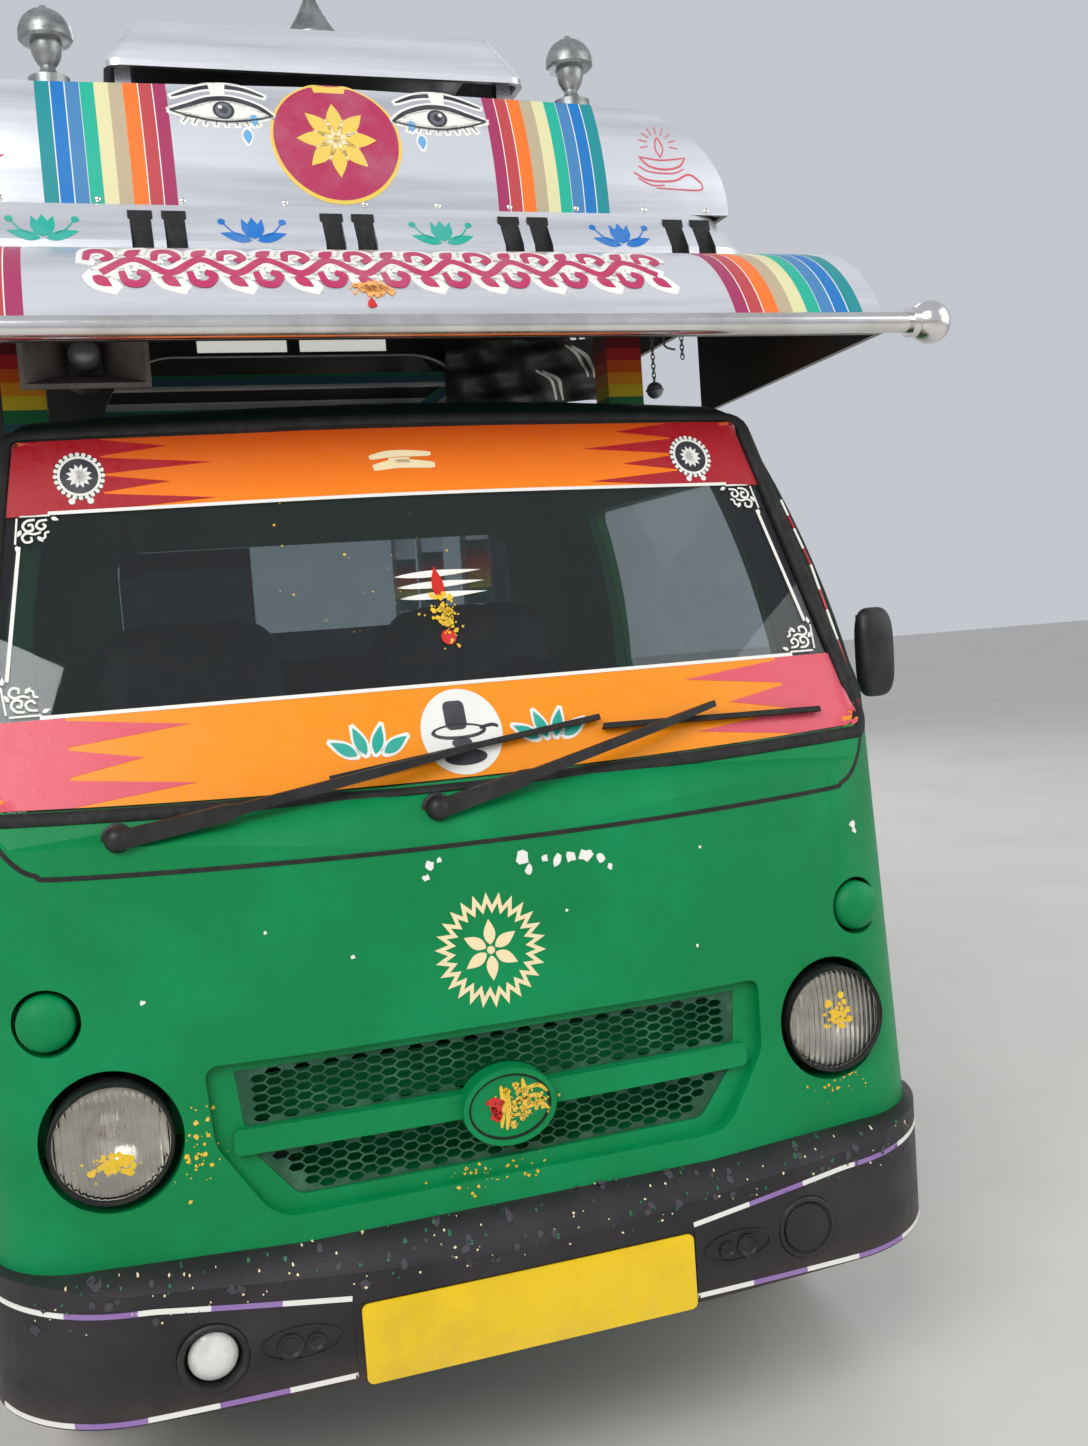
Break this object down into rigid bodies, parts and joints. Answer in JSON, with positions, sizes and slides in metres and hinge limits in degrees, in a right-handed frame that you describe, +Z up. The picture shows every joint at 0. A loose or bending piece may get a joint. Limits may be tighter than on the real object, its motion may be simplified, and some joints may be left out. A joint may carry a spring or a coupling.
{
  "type": "hearse",
  "caption": "Hearse on a small forward-control truck: green cab, open load bed with a bier platform, and a three-tier sheet-steel canopy on posts with painted stripes and flowers.",
  "frame": {"origin": "on the ground under the middle of the whole vehicle", "axes": "+X to the vehicle's left, +Y from the nose to the tail, +Z up"},
  "size_m": [1.98, 3.84, 2.6884],
  "materials": {
    "cab_paint": "gloss green paint",
    "door_paint": "gloss green paint",
    "grille_black": "black",
    "window_glass": "clear",
    "bumper_paint": "dark grey",
    "lamp_glass": "clear ribbed lens over chrome",
    "indicator_paint": "green paint over the lens",
    "fog_white": "white",
    "chassis_black": "black",
    "tyre_rubber": "matt",
    "rim_paint": "silver paint",
    "engine_iron": "rough",
    "dash_plastic": "dark grey",
    "seat_vinyl": "dark vinyl",
    "bed_paint": "gloss green paint",
    "bier_steel": "satin stainless steel",
    "visor_steel": "satin stainless steel with painted stripes",
    "tube_steel": "polished",
    "band_steel": "satin stainless steel with painted flowers",
    "roof_steel": "satin stainless steel with painted stripes",
    "vent_steel": "satin stainless steel",
    "finial_paint": "satin steel",
    "post_steel": "satin stainless steel with painted rings",
    "arch_steel": "satin stainless steel",
    "speaker_paint": "grey-beige",
    "trim_black": "black",
    "tail_red": "red"
  },
  "bodies": {
    "vehicle": {"arch_bulkhead": "arch_steel", "bed_floor": "bed_paint", "bed_sides": "bed_paint", "bier_platform": "bier_steel", "cab_body": "cab_paint", "cab_glass": "window_glass", "canopy_band": "band_steel", "canopy_frame": "post_steel", "chassis_frame": "chassis_black", "cowl_panel": "cab_paint", "dashboard": "dash_plastic", "eave_tubes": "tube_steel", "engine_block": "engine_iron", "exhaust": "chassis_black", "finials": "finial_paint", "fog_lamps": "fog_white", "front_axle": "chassis_black", "front_bumper": "bumper_paint", "front_panel": "cab_paint", "fuel_tank": "chassis_black", "grille": "grille_black", "headlamps": "lamp_glass", "indicators": "indicator_paint", "leaf_springs": "chassis_black", "loudspeaker": "speaker_paint", "mirrors": "trim_black", "prop_shaft": "chassis_black", "rear_axle": "chassis_black", "ridge_vent": "vent_steel", "seat_driver": "seat_vinyl", "seat_passenger": "seat_vinyl", "side_benches": "bier_steel", "spare_wheel": "tyre_rubber", "tail_lamps": "tail_red", "upper_roof": "roof_steel", "visors": "visor_steel", "wipers": "trim_black"},
    "door_left": {"door_left": "door_paint", "door_glass_left": "window_glass"},
    "door_right": {"door_right": "door_paint", "door_glass_right": "window_glass"},
    "tailgate": {"tailgate": "bed_paint"},
    "knuckle_left": {"knuckle_left": "chassis_black"},
    "knuckle_right": {"knuckle_right": "chassis_black"},
    "tie_rod": {"tie_rod": "chassis_black"},
    "wheel_front_left": {"tyre_front_left": "tyre_rubber", "rim_front_left": "rim_paint"},
    "wheel_front_right": {"tyre_front_right": "tyre_rubber", "rim_front_right": "rim_paint"},
    "wheel_rear_left": {"tyre_rear_left": "tyre_rubber", "rim_rear_left": "rim_paint"},
    "wheel_rear_right": {"tyre_rear_right": "tyre_rubber", "rim_rear_right": "rim_paint"},
    "steering_wheel": {"steering_wheel": "dash_plastic"}
  },
  "joints": [
    {"name": "steer_left", "type": "hinge", "parent": "vehicle", "child": "knuckle_left", "pos_m": [0.56, -1.23, 0.268], "axis": [0, 0, 1], "range_deg": [-32, 32]},
    {"name": "steer_right", "type": "hinge", "parent": "vehicle", "child": "knuckle_right", "pos_m": [-0.56, -1.23, 0.268], "axis": [0, 0, 1], "range_deg": [-32, 32]},
    {"name": "tie_rod_ball", "type": "hinge", "parent": "knuckle_left", "child": "tie_rod", "pos_m": [0.56, -1.12, 0.189], "axis": [0, 0, 1], "range_deg": [-32, 32]},
    {"name": "wheel_front_left", "type": "hinge", "parent": "knuckle_left", "child": "wheel_front_left", "pos_m": [0.65, -1.23, 0.268], "axis": [1, 0, 0], "continuous": true},
    {"name": "wheel_front_right", "type": "hinge", "parent": "knuckle_right", "child": "wheel_front_right", "pos_m": [-0.65, -1.23, 0.268], "axis": [1, 0, 0], "continuous": true},
    {"name": "wheel_rear_left", "type": "hinge", "parent": "vehicle", "child": "wheel_rear_left", "pos_m": [0.66, 0.87, 0.268], "axis": [1, 0, 0], "continuous": true},
    {"name": "wheel_rear_right", "type": "hinge", "parent": "vehicle", "child": "wheel_rear_right", "pos_m": [-0.66, 0.87, 0.268], "axis": [1, 0, 0], "continuous": true},
    {"name": "door_left", "type": "hinge", "parent": "vehicle", "child": "door_left", "pos_m": [0.75, -1.59, 1], "axis": [0, 0, 1], "range_deg": [-65, 0]},
    {"name": "door_right", "type": "hinge", "parent": "vehicle", "child": "door_right", "pos_m": [-0.75, -1.59, 1], "axis": [0, 0, 1], "range_deg": [0, 65]},
    {"name": "tailgate", "type": "hinge", "parent": "vehicle", "child": "tailgate", "pos_m": [0, 1.875, 0.745], "axis": [-1, 0, 0], "range_deg": [0, 90]},
    {"name": "steering_wheel", "type": "hinge", "parent": "vehicle", "child": "steering_wheel", "pos_m": [-0.33, -1.36, 1.01], "axis": [0, 0.6157, 0.788], "range_deg": [-384, 384]}
  ],
  "couplings": [
    {"joint": "steer_right", "follows": "steer_left", "ratio": 1},
    {"joint": "tie_rod_ball", "follows": "steer_left", "ratio": -1},
    {"joint": "steering_wheel", "follows": "steer_left", "ratio": 12}
  ]
}
